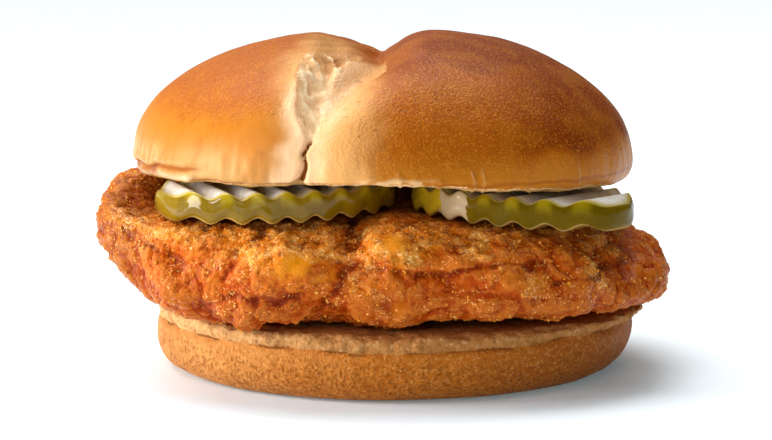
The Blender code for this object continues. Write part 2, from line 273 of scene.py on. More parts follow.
def times(tree, first, *others):
    for other in others:
        first = addNode(tree, "ShaderNodeMath", {0: first, 1: other}, operation="MULTIPLY").outputs[0]
    return first


def without(tree, mask):
    # what is left of 1 once the mask is taken away
    return addNode(tree, "ShaderNodeMath", {0: 1.0, 1: mask}, operation="SUBTRACT").outputs[0]


def layered(tree, base, layers):
    # hex colours laid over each other, each through its own mask
    colour = base if isinstance(base, bpy.types.NodeSocket) else toLinear(base)
    for mask, over in layers:
        top = over if isinstance(over, bpy.types.NodeSocket) else toLinear(over)
        mixed = addNode(tree, "ShaderNodeMix", {0: mask, 6: colour, 7: top}, data_type="RGBA")
        colour = mixed.outputs[2]
    return colour


def coatWith(tree, shader, colour, bumps):
    # the colour of a material and its fine relief; each bump is a height mask and its depth in mm
    tree.links.new(colour, shader.inputs["Base Color"])
    normal = None
    for height, depth in bumps:
        inputs = {"Height": height, "Distance": depth * mm, "Strength": 1.0}
        if normal:
            inputs["Normal"] = normal
        normal = addNode(tree, "ShaderNodeBump", inputs).outputs[0]
    if normal:
        tree.links.new(normal, shader.inputs["Normal"])


# crown bun

crownShape = {
    "grain": 0.5,
    "splitStart": 0.8,  # x of the bottom of the split over the middle
    "splitFront": -15.5,  # how far it bends left towards the front edge
    "splitBack": 3.5,
    "tearLeft": (-16.4, 2.6),  # x of the tear's left edge, and its bend towards the crack below
    "tearRight": (-4.3, -6.2, -3.7),  # x of its right edge, and two bends
    "tearTop": (-19.5, 0.8),  # y of its far edge below x = -11, and its slant
    "tearDepth": 0.5,  # below what the solid already sinks
    # the crack below the tear, as heights and the x it passes there
    "crackPath": ((44.0, -16.6), (45.3, -15.6), (47.7, -14.9), (49.5, -15.5), (52.3, -14.2)),
    "crackDepth": 1.5,
    "strandHeight": 0.9,  # strands in the torn crumb
    "lipHeight": 0.5,  # the lifted crust along the tear's left edge
    "wrinkleAt": (3.3, 11.0, 17.5, 19.5, 28.4, 39.0, 43.0),  # x of the pale wrinkles near the front edge
    "wrinkleHeight": 0.35,
    "foldLevel": 43.6,  # height of the pinched fold at the left end
    "foldDepth": 1.1,
    "rollHeight": 0.6,  # the dough that swells out above and below the fold
    "rimLevel": 44.3,  # height of the pale rim right of the crack
    "edgeLevel": 43.8,  # height of the dark line along the lower edge
    # ragged and uneven places, as (height, lump size, seed) of each layer
    "leftRagged": ((0.7, 3.2, 4.0), (0.35, 1.4, 9.0)),
    "rightFlaps": ((0.6, 3.6, 14.0), (0.4, 1.3, 19.0)),
    "farRagged": ((0.9, 3.5, 24.0), (0.7, 1.2, 25.0)),
    "crackRagged": ((0.3, 1.2, 35.0), (0.2, 4.0, 36.0)),
    "dome": ((0.28, 9.0, 51.0), (0.08, 3.5, 57.0)),
    "browning": ((2.2, 11.0, 71.0), (0.9, 4.0, 73.0)),
}


def splitLine(y):
    front = ramp01(26, 52, -y)
    back = ramp01(0, 50, y)
    return crownShape["splitStart"] + crownShape["splitFront"] * front + crownShape["splitBack"] * back


def tearEdges(y, z):
    # x of the tear's left and right edges, which meet at the crack low on the front
    down = -y + 0.4 * np.clip(56.0 - z, 0.0, 12.0)
    left, bend = crownShape["tearLeft"]
    right, upper, lower = crownShape["tearRight"]
    edgeLeft = left + bend * ramp01(42, 48, down)
    edgeRight = right + upper * ramp01(12, 36, -y) + lower * ramp01(36, 48, down)
    return edgeLeft, edgeRight


def crownBake(points, offset):
    # how brown the crust is: from 0 at the pale lower edge to 1 on the darkest shoulder
    x, y, z = points.T
    level = z + rumple(points, crownShape["browning"])
    left = 0.80 * ramp01(43.0, 61.0, level)
    shoulder = np.maximum(ramp01(14.0, 38.0, x) * ramp01(46.0, 51.0, level), ramp01(61.0, 67.0, level))
    right = 0.50 + 0.27 * ramp01(41.5, 50.0, level) + 0.26 * shoulder
    right -= 0.12 * ramp01(40.0, 50.0, x) * fall01(46.0, 52.0, level)
    return left + (right - left) * ramp01(-4.0, 4.0, offset)


def tornBand(points):
    # masks of the tear: its bare crumb, how far it is sunk, and the lifted lip of crust beside it
    x, y, z = points.T
    edgeLeft, edgeRight = tearEdges(y, z)
    farAt, slant = crownShape["tearTop"]
    inLeft = x - edgeLeft + rumple(points, crownShape["leftRagged"])
    inRight = edgeRight - x + 0.7 + rumple(points, crownShape["rightFlaps"])
    inFar = farAt + slant * (x + 11.0) - y + rumple(points, crownShape["farRagged"])
    opened = ramp01(-0.5, 1.0, edgeRight - edgeLeft) * (y < 0)
    torn = ramp01(-0.35, 0.35, inLeft) * ramp01(-0.5, 0.5, inRight) * ramp01(-1.2, 1.2, inFar) * opened
    sunk = ramp01(-0.3, 0.9, inLeft) * ramp01(-0.3, 1.6, inRight) * ramp01(0.0, 5.0, inFar) * opened
    lip = bell(inLeft + 0.7, 0.8) * ramp01(1.0, 6.0, inFar) * opened
    return torn, sunk, lip


def crumbStrands(points):
    # strands of pulled crumb, running down and to the left through the tear
    x, y, z = points.T
    across = x + 0.45 * (z - 57.0) + 0.8 * cloudNoise(points, 4.0, 26.0)
    pulled = np.stack([across, 0.25 * y, 0.3 * z], axis=1)
    coarse = 1.7 * np.abs(cloudNoise(pulled, 2.1, 21.0))
    fine = 1.3 * np.abs(cloudNoise(pulled, 1.1, 22.0))
    return 1.0 - coarse - fine + 0.35 * cloudNoise(points, 1.5, 33.0)


def crackBelow(points, crackLine):
    # the jagged crack from the tear down to the crown's edge, widest at the bottom
    x, y, z = points.T
    jagged = x - crackLine + rumple(points, crownShape["crackRagged"])
    width = 0.4 + 0.8 * fall01(43.5, 46.0, z)
    return bell(jagged, width) * ramp01(43.0, 45.0, -y) * fall01(51.0, 53.0, z)


def frontWrinkles(points):
    x, y, z = points.T
    aside = 0.9 * cloudNoise(points * np.array([0.0, 0.0, 1.0]), 2.2, 63.0) + 0.12 * (z - 44.0)
    wrinkle = sum(bell(x - at + aside, 0.28) for at in crownShape["wrinkleAt"])
    return wrinkle * fall01(43.5, 48.5, z + 3.5 * cloudNoise(points, 4.0, 65.0)) * ramp01(25.0, 40.0, -y)


def pinchedEnd(points):
    # the left end is pinched in where the dough was folded under, and swells beside the fold
    x, y, z = points.T
    atLeft = ramp01(38.0, 44.0, -x - 0.12 * y)
    foldLine = z - crownShape["foldLevel"] - 0.10 * (x + 50.0) - 0.7 * cloudNoise(points, 5.0, 67.0)
    fold = bell(foldLine, 0.6) * atLeft
    roll = (bell(foldLine + 1.9, 1.3) + 0.5 * bell(foldLine - 1.4, 0.8)) * atLeft
    return fold, roll, atLeft


def paleCrust(points, offset, crackLine):
    # pale crust: a cream strip left of the tear, the whole flank right of it, and the slope above it
    x, y, z = points.T
    edgeLeft, edgeRight = tearEdges(y, z)
    front = ramp01(12.0, 26.0, -y)
    lower = ramp01(42.0, 47.0, -y)
    fade = 1.2 * cloudNoise(points, 4.0, 75.0) + 0.5 * cloudNoise(points * np.array([1, 1, 0.2]), 1.2, 76.0)
    closed = (edgeRight < edgeLeft) & (y < 0)
    leftOf = np.where(closed, np.minimum(edgeLeft, crackLine), edgeLeft) - x + 0.6 * fade
    rightOf = x - np.where(closed, crackLine, edgeRight) + 0.6 * fade
    strip = fall01(0.6, 6.0 + 4.0 * lower, leftOf) * (leftOf > -3.0) * ramp01(31.0, 39.0, -y)
    cream = np.where(rightOf < leftOf, strip, 0.8 * fall01(-1.0, 10.0, rightOf + 0.8 * fade)) * front
    slope = ramp01(-21.0, -12.0, x + fade) * fall01(-9.0, 0.0, x + fade)
    slope *= fall01(-18.0, 14.0, y + 2 * fade) * fall01(20.0, 28.0, -y)
    flank = fall01(-9.0, 4.5, x + 1.5 * fade) * (x > edgeRight - 1.0) * front
    beside = fall01(0.0, 9.0, leftOf) * (offset < 0) * front
    return np.maximum(np.maximum(flank, 0.8 * beside), 0.8 * slope), cream


def lowerEdge(points, normals):
    # masks of the crumb underneath, the pale rim right of the crack and the dark line along the lower edge
    x, y, z = points.T
    under = ramp01(0.7, 0.95, -normals[:, 2]) * fall01(41.0, 43.0, z + 0.037 * y)
    rim = bell(z - crownShape["rimLevel"] + 0.4 * cloudNoise(points, 2.0, 83.0), 0.8)
    rim *= ramp01(-7.0, -3.0, x) * fall01(8.0, 12.0, x) * ramp01(12.0, 26.0, -y)
    rim *= ramp01(-0.5, 0.2, cloudNoise(points, 0.9, 84.0))
    sag = 0.02 * np.abs(x) + 0.3 * cloudNoise(points, 3.0, 81.0)
    return under, rim, bell(z - crownShape["edgeLevel"] + sag, 0.45) * (y < 0)


def shapeCrown():
    piece = fineCopy("crown_bun", "crownBun", crownShape["grain"])
    points, normals = meshPoints(piece.data)
    x, y, z = points.T
    offset = x - splitLine(y)
    crackLine = np.interp(z, *zip(*crownShape["crackPath"]))
    torn, sunk, lip = tornBand(points)
    strand = crumbStrands(points)
    crack = crackBelow(points, crackLine)
    wrinkle = frontWrinkles(points)
    fold, roll, atLeft = pinchedEnd(points)
    # the dome is a little uneven, and lined low down where the dough has pulled
    lined = cloudNoise(points * np.array([1.0, 1.0, 0.22]), 1.7, 59.0)
    low = fall01(44.0, 53.0, z + 1.5 * cloudNoise(points, 4.0, 61.0))
    move = (-crownShape["tearDepth"] + crownShape["strandHeight"] * strand) * sunk
    move += crownShape["lipHeight"] * lip - crownShape["crackDepth"] * crack
    move += rumple(points, crownShape["dome"]) + 0.22 * low * lined
    move += crownShape["wrinkleHeight"] * wrinkle
    move += crownShape["rollHeight"] * roll - crownShape["foldDepth"] * fold
    putPoints(piece.data, points + normals * move[:, None])
    pale, cream = paleCrust(points, offset, crackLine)
    under, rim, edge = lowerEdge(points, normals)
    storeMasks(piece.data, torn=torn, pale=pale, cream=cream, wrinkle=wrinkle, strand=strand * torn,
               far=ramp01(-36.0, -22.0, y), under=under, rim=rim, fold=fold, roll=roll * atLeft,
               crack=crack, edge=edge, bake=crownBake(points, offset))
    return piece


def briocheCrust():
    # brioche crust, egg-washed and oven-browned: brown and softly shiny above, tan towards its edge
    made, tree, shader, place = startMaterial("eggWashedBriocheCrust", {
        "Roughness": 0.34, "IOR": 1.45, "Specular IOR Level": 0.14,
        "Specular Tint": (1.0, 0.66, 0.34, 1.0)})
    bakeMask = storedMask(tree, "bake", 0.25, 0.8)
    bead = mottle(tree, place, 0.45, 0.54, 0.66, detail=1.0)
    streaks = mottle(tree, place, 1.6, 0.3, 0.6, stretch=(1.0, 0.4, 0.25))
    streaky = addNode(tree, "ShaderNodeMapRange", {"Value": streaks, "To Min": 0.6}).outputs[0]
    dash = mottle(tree, place, 1.3, 0.66, 0.76, detail=1.0, stretch=(0.6, 1.0, 1.0))
    colour = layered(tree, "#CC9A5E", [
        (times(tree, mottle(tree, place, 2.0, 0.45, 0.75, stretch=(1.0, 1.0, 0.25)), 0.7), "#B97C3C"),
        (storedMask(tree, "bake", 0.02, 0.30), "#CB8038"),
        (storedMask(tree, "bake", 0.20, 0.55), "#C2741E"),
        (storedMask(tree, "bake", 0.50, 0.85), "#AA5409"),
        (storedMask(tree, "bake", 0.80, 1.05), "#843505"),
        (times(tree, mottle(tree, place, 7.0, 0.42, 0.7), 0.35), "#BC6E16"),
        (times(tree, mottle(tree, place, 3.0, 0.5, 0.75, stretch=(1.0, 1.0, 0.6)), 0.3), "#96460A"),
        (times(tree, storedMask(tree, "pale"), 0.85), "#E2A866"),
        (times(tree, storedMask(tree, "cream", 0.1, 0.9), streaky), "#F2C496"),
        (times(tree, storedMask(tree, "wrinkle", 0.2, 0.8), 0.5), "#D6A066"),
        # darker along the crease of the fold: painted shade
        (storedMask(tree, "fold", 0.25, 0.9), "#A85F22"),
        # darker in the crack: painted shade
        (storedMask(tree, "crack", 0.15, 0.7), "#8F4E16"),
        (times(tree, storedMask(tree, "edge", 0.2, 0.9), 0.75), "#A0520F"),
        (storedMask(tree, "roll", 0.4, 0.9), "#E2C399"),
        (times(tree, storedMask(tree, "rim"), 0.8), "#EFC48C"),
        (times(tree, bead, bakeMask, 0.35), "#E8962A"),
        (times(tree, dash, bakeMask, 0.35), "#6A300C"),
        (storedMask(tree, "under", 0.3, 0.8), "#C99A5C")])
    coatWith(tree, shader, colour, [
        (times(tree, mottle(tree, place, 0.55, 0.3, 0.7, detail=1.0), bakeMask), 0.07),
        (mottle(tree, place, 1.8, 0.3, 0.7, stretch=(1.0, 1.0, 0.5)), 0.04),
        (times(tree, dash, -1.0), 0.03)])
    return made


def breadCrumb():
    # torn white crumb: matte, soft and slightly translucent, with painted shade in its hollows
    made, tree, shader, place = startMaterial("tornBreadCrumb", {
        "Roughness": 0.85, "IOR": 1.4, "Specular IOR Level": 0.08, "Subsurface Weight": 0.2,
        "Subsurface Radius": (1.0, 0.6, 0.35), "Subsurface Scale": 0.002})
    hollow = pores(tree, place, 1.1, 0.05, 0.40)
    colour = layered(tree, "#FBD09C", [
        (mottle(tree, place, 3.5, 0.4, 0.7), "#FFDCAC"),
        (times(tree, storedMask(tree, "far"), 0.8), "#C8884A"),
        # darker in the pores: painted shade
        (times(tree, hollow, 0.25), "#C88E46"),
        (times(tree, storedMask(tree, "strand", 0.1, 0.9), 0.7), "#FFE4BC"),
        (storedMask(tree, "under", 0.3, 0.8), "#D2A05E")])
    coatWith(tree, shader, colour, [
        (mottle(tree, place, 0.9, 0.3, 0.7), 0.10),
        (times(tree, hollow, -1.0), 0.08)])
    return made


def dressCrown():
    piece = shapeCrown()
    mesh = piece.data
    mesh.materials.append(briocheCrust())
    mesh.materials.append(breadCrumb())
    crumb = np.maximum(readMask(mesh, "torn"), readMask(mesh, "under")) > 0.5
    corners = np.empty(len(mesh.loops), dtype=np.int32)
    mesh.loops.foreach_get("vertex_index", corners)
    starts = np.empty(len(mesh.polygons), dtype=np.int32)
    mesh.polygons.foreach_get("loop_start", starts)
    mesh.polygons.foreach_set("material_index", crumb[corners[starts]].astype(np.int32))
    return finishPiece(piece, "crown_bun")


dressCrown()


# heel bun

heelShape = {
    "grain": 0.5,
    "seam": 11.0,  # height of the seam between crust and cut band
    "seamDepth": 0.5,
    "bandRoughness": 0.6,
    "dimple": 0.20,
    "topLevel": 13.9,  # from here up the band rises no more than topRise, which keeps it off the fillet
    "topRise": 0.1,
    # unevenness, as (height, lump size, seed) of each layer
    "waver": ((0.6, 12.0, 5.0), (0.25, 3.0, 6.0)),
    "cut": ((1.0, 1.5, 12.0), (0.8, 3.4, 15.0)),
}


def shapeHeel():
    piece = fineCopy("heel_bun", "heelBun", heelShape["grain"])
    points, normals = meshPoints(piece.data)
    x, y, z = points.T
    level = z - heelShape["seam"] - rumple(points * np.array([1.0, 1.0, 0.0]), heelShape["waver"])
    side = fall01(0.5, 0.9, np.abs(normals[:, 2]))
    band = ramp01(-0.2, 0.3, level)
    seam = bell(level + 0.1, 0.3) * side * ramp01(-0.5, 0.1, cloudNoise(points, 7.0, 8.0))
    lower = fall01(5.0, 10.5, z + 2.0 * cloudNoise(points, 8.0, 44.0))
    dimple = -np.abs(cloudNoise(points, 1.3, 41.0)) + 0.3 * cloudNoise(points, 1.7, 42.0)
    standing = ramp01(0.1, 1.2, z)
    move = band * heelShape["bandRoughness"] * rumple(points, heelShape["cut"])
    move -= heelShape["seamDepth"] * seam
    move += heelShape["dimple"] * (0.3 + 0.7 * lower) * dimple * (1.0 - band) * standing
    move += 0.15 * cloudNoise(points, 5.0, 47.0) * standing
    top = z > heelShape["topLevel"]
    move[top] = np.minimum(move[top], heelShape["topRise"])
    putPoints(piece.data, points + normals * move[:, None])
    # the share across carries painted light on the left end and painted shade towards the right
    storeMasks(piece.data, band=band, seam=seam, low=lower, across=x / 50.0,
               # the dimple depth, for painted shade in the dimples
               pitted=ramp01(-0.05, 0.55, -dimple))
    return piece


def heelCrust():
    # bottom crust of a bun, baked on a tin: matte and dimpled, with a toasted cut band above
    made, tree, shader, place = startMaterial("mattBunCrust", {
        "Roughness": 0.5, "IOR": 1.42, "Specular IOR Level": 0.10,
        "Specular Tint": (1.0, 0.72, 0.45, 1.0)})
    low = storedMask(tree, "low", -0.6, 1.0)
    # pits, with painted shade in them
    pit = times(tree, mottle(tree, place, 0.75, 0.48, 0.36, detail=2.0), low)
    # painted light: paler crust and band at the left end, where the side lamp falls; painted shade: darker
    # towards the right
    middle = storedMask(tree, "across", -0.92, 0.1)
    far = storedMask(tree, "across", 0.1, 0.9)
    toasted = layered(tree, "#E2AA6C", [
        (middle, "#BE8044"),
        (times(tree, mottle(tree, place, 2.4, 0.4, 0.65), 0.6), "#A86C34"),
        (times(tree, mottle(tree, place, 1.0, 0.5, 0.7), 0.5), "#E6BA80"),
        # darker in the pores of the cut band: painted shade
        (times(tree, pores(tree, place, 1.4, 0.08, 0.4), 0.5), "#7E4A20")])
    colour = layered(tree, "#D4924E", [
        # painted light on the left end, painted shade from the middle to the right
        (middle, "#C87324"),
        (far, "#AC5C18"),
        (times(tree, mottle(tree, place, 7.0, 0.35, 0.7), 0.4), "#B8661C"),
        (times(tree, mottle(tree, place, 0.65, 0.50, 0.64, detail=2.0), 0.45), "#E4A65C"),
        # darker in the pits and dimples: painted shade
        (times(tree, pit, 0.55), "#93480F"),
        (times(tree, storedMask(tree, "pitted"), low, 0.3), "#93480F"),
        (storedMask(tree, "band", 0.2, 0.8), toasted),
        (times(tree, storedMask(tree, "seam", 0.3, 0.9), 0.7), "#5E2C0C")])
    coatWith(tree, shader, colour, [
        (mottle(tree, place, 0.7, 0.3, 0.7), 0.14),
        (times(tree, pit, -1.0), 0.16)])
    return made


def dressHeel():
    piece = shapeHeel()
    piece.data.materials.append(heelCrust())
    return finishPiece(piece, "heel_bun")


dressHeel()


# sizes of the pickle slices, which the fillet carries

pickleShapes = {
    "left": {
        "Centre X": -22.0, "Centre Y": -22.4, "Radius": 24.0, "Crest height": 41.45,
        "Slope X": 0.034, "Slope Y": -0.018, "Turn": 15.0, "Crest at": -2.9},
    "right": {
        "Centre X": 28.4, "Centre Y": -21.5, "Radius": 22.4, "Crest height": 40.05,
        "Slope X": -0.071, "Slope Y": -0.020, "Turn": -27.8, "Crest at": 2.08},
    "both": {
        "Thickness": 5.0, "Pitch": 5.55, "Ridge": 0.64, "Bulge": 0.35, "Rounding": 0.35, "Unevenness": 1.6},
}


def pickleTop(shape, dx, dy):
    # height of a slice's upper face at an offset from its middle
    turn = math.radians(shape["Turn"])
    across = dx * math.cos(turn) + dy * math.sin(turn)
    phase = 2.0 * math.pi * (across - shape["Crest at"]) / pickleShapes["both"]["Pitch"]
    wave = pickleShapes["both"]["Ridge"] * (np.cos(phase) - 1.0)
    return shape["Crest height"] + shape["Slope X"] * dx + shape["Slope Y"] * dy + wave


# fried fillet

batterShape = {
    "grain": 0.5, "smoothing": 30,
    "Swell size": 8.0, "Swell height": 1.0,
    "Puff size": 4.8, "Puff height": 1.6,
    "Bubble size": 2.0, "Bubble height": 0.9,
    "Grit size": 1.05, "Grit height": 0.7,
    "Seed": 3.0,
    "ridgeAt": (4.3, 4.0),  # x and half-width of an upright ridge of the solid's front, rounded off here
    "drapeAt": (-21.0, 13.0), "drape": 3.0,  # x and half-width of the low front edge, and its drop
    "clearance": 0.1,  # between the crags and the slices
}

# creases in the front of the batter, as (x, z) points with their depth and half-width
batterCreases = (
    (((-6.0, 35.0), (-7.5, 29.0)), 0.5, 1.1),
    (((-5.0, 29.0), (-8.5, 24.0), (-12.0, 19.0)), 0.3, 0.8),
    (((-7.0, 27.0), (1.0, 28.8), (5.5, 26.6), (14.5, 27.4), (24.0, 28.8), (31.0, 27.5)), 0.7, 0.8),
    (((-52.0, 33.0), (-45.0, 30.0), (-38.0, 27.5)), 0.4, 1.0),
    (((-30.0, 22.0), (-22.0, 21.0), (-15.0, 22.5)), 0.5, 0.9),
    (((-24.0, 34.0), (-29.0, 30.0), (-31.0, 26.0)), 0.4, 0.8),
    (((33.0, 24.0), (42.0, 25.5), (50.0, 27.0)), 0.5, 0.9),
)

# smooth pools of batter, amber in colour: (x, z) and radius
amberPools = ((-17.0, 28.2, 3.6), (-12.0, 26.0, 2.6), (2.0, 32.6, 2.8), (3.0, 20.5, 2.6))

# where the batter is driest and golden, the same way
goldenPatches = (
    (-24.0, 32.0, 6.0), (-12.0, 31.5, 5.5), (5.0, 32.5, 6.0), (18.0, 31.5, 3.5), (44.0, 30.0, 4.0))

scatteredGrains = {"Per square metre": 600000.0, "Smallest": 0.3, "Largest": 0.85}
scatteredPepper = {"Per square metre": 9000.0, "Smallest": 0.4, "Largest": 0.9}


def batterTree():
    # crags of batter pushed out along the normal: broad swells, puffs, bubbles and grit
    sizes = {key: value for key, value in batterShape.items() if key[0].isupper()}
    tree, given = newTree("batterCrags", sizes)
    calc = calculator(tree)
    place = addNode(tree, "GeometryNodeInputPosition").outputs[0]
    inMm = addNode(tree, "ShaderNodeVectorMath", {0: place, 3: 1 / mm}, operation="SCALE").outputs[0]
    noiseMiddle, puffMean = 0.5, 0.33

    def fromMiddle(label, detail):
        noise = addNode(tree, "ShaderNodeTexNoise", {
            "Vector": inMm, "Scale": calc("DIVIDE", 1.0, given[label + " size"]), "Detail": detail,
            "W": given["Seed"]}, noise_dimensions="4D").outputs[0]
        return calc("SUBTRACT", noise, noiseMiddle)

    def lumps(label, detail):
        return calc("MULTIPLY", fromMiddle(label, detail), given[label + " height"])

    def billows(label):
        # rounded puffs with a sharp crease between them
        puff = calc("SQRT", calc("ABSOLUTE", fromMiddle(label, 0.0)))
        return calc("MULTIPLY", calc("SUBTRACT", puff, puffMean), given[label + " height"])

    height = calc("ADD", calc("ADD", lumps("Swell", 2.0), billows("Puff")),
                  calc("ADD", billows("Bubble"), lumps("Grit", 1.0)))
    push = addNode(tree, "ShaderNodeVectorMath", {
        0: addNode(tree, "GeometryNodeInputNormal").outputs[0], 3: calc("MULTIPLY", height, mm)},
        operation="SCALE").outputs[0]
    moved = addNode(tree, "GeometryNodeSetPosition", {"Geometry": given["Geometry"], "Offset": push})
    addNode(tree, "NodeGroupOutput", {"Geometry": moved.outputs[0]})
    return tree, sizes


def friedBatter():
    # wet batter, deep-fried: golden grit on its crags and amber where smooth; red-brown painted shade in
    # its hollows and furrows, painted light on its crests and painted glints on its grit
    made, tree, shader, place = startMaterial("deepFriedBatter", {
        "Roughness": 0.32, "IOR": 1.47,
        "Specular IOR Level": 0.10, "Specular Tint": (1.0, 0.55, 0.22, 1.0),
        "Coat Weight": 0.09, "Coat Roughness": 0.07, "Coat IOR": 1.35, "Subsurface Weight": 0.25,
        "Subsurface Radius": (1.0, 0.35, 0.1), "Subsurface Scale": 0.0015})
    golden = storedMask(tree, "golden")
    amber = storedMask(tree, "amber", 0.1, 1.0)
    gritty = without(tree, times(tree, amber, 0.85))
    # the depth of the relief paints light on the crests and shade in the creases
    crest = storedMask(tree, "hollow", 0.2, -1.6)
    crease = storedMask(tree, "hollow", 0.2, 1.9)
    grit = times(tree, mottle(tree, place, 0.7, 0.52, 0.66, detail=2.0), gritty)
    crowded = times(tree, mottle(tree, place, 4.0, 0.44, 0.60, detail=2.0), gritty)
    # pale flecks of grit, partly painted glints
    flecks = times(tree, mottle(tree, place, 0.5, 0.60, 0.70, detail=1.0), crowded)
    crumby = times(tree, mottle(tree, place, 3.2, 0.45, 0.58), gritty, golden)
    # painted glints on the crumbly patches
    sparks = times(tree, mottle(tree, place, 0.45, 0.56, 0.66, detail=1.0), crumby)
    # painted shade in the gaps between grains
    charred = times(tree, mottle(tree, place, 1.2, 0.44, 0.30, detail=2.0), gritty, 0.65)
    colour = layered(tree, "#AC3C04", [
        (mottle(tree, place, 5.0, 0.34, 0.68), "#CC5C0C"),
        (times(tree, golden, 0.75), "#DA760C"),
        (times(tree, crumby, 0.75), "#EDA244"),
        (times(tree, amber, 0.85), "#F0940C"),
        (times(tree, storedMask(tree, "low"), 0.65), "#9C3206"),
        (times(tree, storedMask(tree, "end"), 0.8), "#86390C"),
        # painted light on the crests; painted shade in the creases and furrows
        (times(tree, crest, 0.3), "#DE9034"),
        (times(tree, crease, 0.7), "#7E2003"),
        (times(tree, storedMask(tree, "furrow", 0.1, 1.0), 0.9), "#6E1A02"),
        (times(tree, grit, golden, 0.6), "#F4B458"),
        (times(tree, grit, 0.35), "#E0882C"),
        (times(tree, flecks, 0.75), "#FFC477"),
        (times(tree, sparks, 0.8), "#FFDEA2"),
        (charred, "#8A2403")])
    coatWith(tree, shader, colour, [
        (times(tree, mottle(tree, place, 0.6, 0.3, 0.7, detail=1.0), gritty), 0.08),
        (mottle(tree, place, 1.5, 0.3, 0.7), 0.08)])
    return made


def batterGrainTree(sizes):
    # loose grains of one shape, scattered over a surface, turned and sized at random
    tree, given = newTree("scatteredGrains", sizes)
    share = addNode(tree, "GeometryNodeInputNamedAttribute", {"Name": "sown"}, data_type="FLOAT")
    density = times(tree, given["Per square metre"], share.outputs[0])
    sown = addNode(tree, "GeometryNodeDistributePointsOnFaces", {
        "Mesh": given["Geometry"], "Density": density, "Seed": 11})
    ball = addNode(tree, "GeometryNodeMeshIcoSphere", {"Radius": 0.5 * mm, "Subdivisions": 1})
    wide = addNode(tree, "FunctionNodeRandomValue", {
        0: (0.5, 0.5, 0.3), 1: (1.3, 1.0, 0.8), "Seed": 5}, data_type="FLOAT_VECTOR")
    big = addNode(tree, "FunctionNodeRandomValue", {
        2: given["Smallest"], 3: given["Largest"], "Seed": 8}, data_type="FLOAT")
    size = addNode(tree, "ShaderNodeVectorMath", {
        0: wide.outputs[0], 3: big.outputs[1]}, operation="SCALE")
    fullTurn = 6.2
    turn = addNode(tree, "FunctionNodeRandomValue", {
        0: (0.0, 0.0, 0.0), 1: (fullTurn, fullTurn, fullTurn), "Seed": 6}, data_type="FLOAT_VECTOR")
    placed = addNode(tree, "GeometryNodeInstanceOnPoints", {
        "Points": sown.outputs[0], "Instance": ball.outputs[0], "Rotation": turn.outputs[0],
        "Scale": size.outputs[0]})
    real = addNode(tree, "GeometryNodeRealizeInstances", {"Geometry": placed.outputs[0]})
    coloured = addNode(tree, "GeometryNodeSetMaterial", {
        "Geometry": real.outputs[0], "Material": given["Material"]})
    addNode(tree, "NodeGroupOutput", {"Geometry": coloured.outputs[0]})
    return tree


def crispGrains():
    # the finest drops of batter, fried crisp: pale gold to amber, dry and rough
    made, tree, shader, place = startMaterial("crispBatterGrains", {
        "Roughness": 0.45, "IOR": 1.47, "Specular IOR Level": 0.0})
    colour = layered(tree, "#D0700F", [
        (mottle(tree, place, 1.6, 0.42, 0.55), "#EC9830"),
        (mottle(tree, place, 2.1, 0.52, 0.62), "#F6C064")])
    coatWith(tree, shader, colour, [(mottle(tree, place, 0.3, 0.3, 0.7), 0.03)])
    return made


def crackedPepper():
    # coarse cracked pepper fried into the batter: nearly black, dull
    made, tree, shader, place = startMaterial("crackedPepper", {
        "Roughness": 0.6, "Specular IOR Level": 0.1})
    colour = layered(tree, "#2A140A", [(mottle(tree, place, 0.5, 0.45, 0.6), "#5A2C10")])
    coatWith(tree, shader, colour, [(mottle(tree, place, 0.3, 0.3, 0.7), 0.05)])
    return made


def sow(source, name, sizes, material):
    given = {**sizes, "Material": material}
    ground = linkObject(name + "Ground", source.data.copy())
    piece = runTree(ground, batterGrainTree(given), given, name)
    return finishPiece(piece, None)


def easeRidge(piece):
    # rounds off the upright ridge of the solid's front
    points = meshPoints(piece.data)[0]
    at, half = batterShape["ridgeAt"]
    share = bell(points[:, 0] - at, half) * ramp01(30.0, 42.0, -points[:, 1])
    putPoints(piece.data, points + (relaxed(piece.data, 45) - points) * share[:, None])


def settleFillet(piece):
    # keeps the crags clear of the slices, and lets the low front edge hang over the heel's rim
    points = meshPoints(piece.data)[0]
    x, y, z = points.T
    at, half = batterShape["drapeAt"]
    outside = ramp01(49.5, 51.5, np.hypot(x - 1.9, y)) * (y < 0)
    z -= batterShape["drape"] * outside * fall01(15.5, 20.0, z) * bell(x - at, half)
    for side in ("left", "right"):
        shape = pickleShapes[side]
        dx, dy = x - shape["Centre X"], y - shape["Centre Y"]
        inside = np.hypot(dx, dy) < shape["Radius"] + 0.8
        under = pickleTop(shape, dx, dy) - pickleShapes["both"]["Thickness"] - batterShape["clearance"]
        z[inside] = np.minimum(z[inside], under[inside])
    putPoints(piece.data, points)


def creaseMasks(points, facing):
    # a mask of painted shade along the furrows, broken here and there, and the depth of the creases in mm
    wander = np.stack([cloudNoise(points, 3.0, 91.0), cloudNoise(points, 3.0, 92.0)], axis=1)
    flat = points[:, [0, 2]] + 1.4 * wander
    unbroken = ramp01(-0.7, 0.4, cloudNoise(points, 5.0, 93.0))
    furrow = np.zeros(len(points))
    depth = np.zeros(len(points))
    for path, deep, half in batterCreases:
        nearest = np.full(len(points), np.inf)
        for start, end in zip(np.array(path[:-1]), np.array(path[1:])):
            run = end - start
            along = np.clip((flat - start) @ run / (run @ run), 0.0, 1.0)
            nearest = np.minimum(nearest, np.linalg.norm(flat - start - along[:, None] * run, axis=1))
        line = bell(nearest, half) * facing
        furrow = np.maximum(furrow, line * unbroken)
        depth = np.maximum(depth, deep * line)
    return furrow, depth


